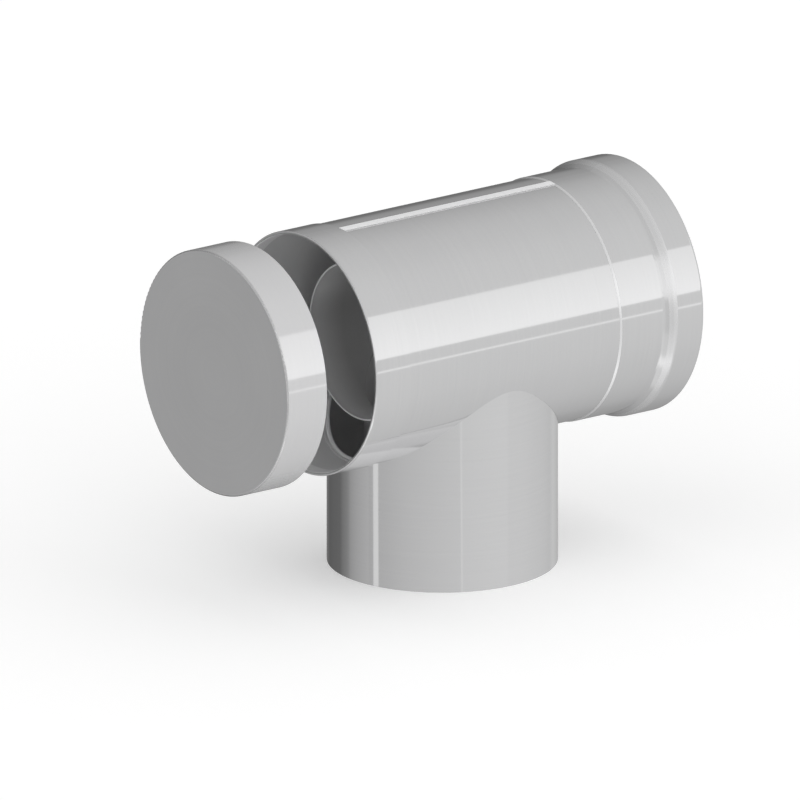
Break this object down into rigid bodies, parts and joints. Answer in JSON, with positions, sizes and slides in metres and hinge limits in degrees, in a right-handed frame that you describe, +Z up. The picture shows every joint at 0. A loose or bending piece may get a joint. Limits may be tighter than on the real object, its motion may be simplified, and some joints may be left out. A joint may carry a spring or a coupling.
{
  "type": "concentric flue inspection elbow",
  "caption": "Twin-wall flue elbow built as a tee: inner pipe inside a sheet case, branch pointing down, stepped socket at one end, round cap taken off the other.",
  "frame": {"origin": "centre of the branch's lower rim, on the surface that the part stands on", "axes": "+X along the run towards its socket, the cap at -X, +Z up along the branch"},
  "size_m": [0.2565, 0.1306, 0.1886],
  "materials": {
    "case_steel": "smooth bright sheet steel, light grey",
    "pipe_steel": "smooth sheet steel, light grey",
    "spring_steel": "rolled spring steel strip",
    "seal_rubber": "moulded black rubber"
  },
  "bodies": {
    "elbow": {"outer_body": "case_steel", "branch_case": "case_steel", "end_collar": "case_steel", "socket_sleeve": "case_steel", "socket_seal": "seal_rubber", "flue_pipe": "pipe_steel", "flue_branch": "pipe_steel", "flue_seal": "seal_rubber", "run_spacer": "spring_steel", "branch_spacer": "spring_steel"},
    "cap": {"end_cap": "case_steel", "cap_seal": "seal_rubber"}
  },
  "joints": [
    {"name": "cap_slide", "type": "slide", "parent": "elbow", "child": "cap", "axis": [1, 0, 0], "range_m": [0, 0.0515]}
  ]
}
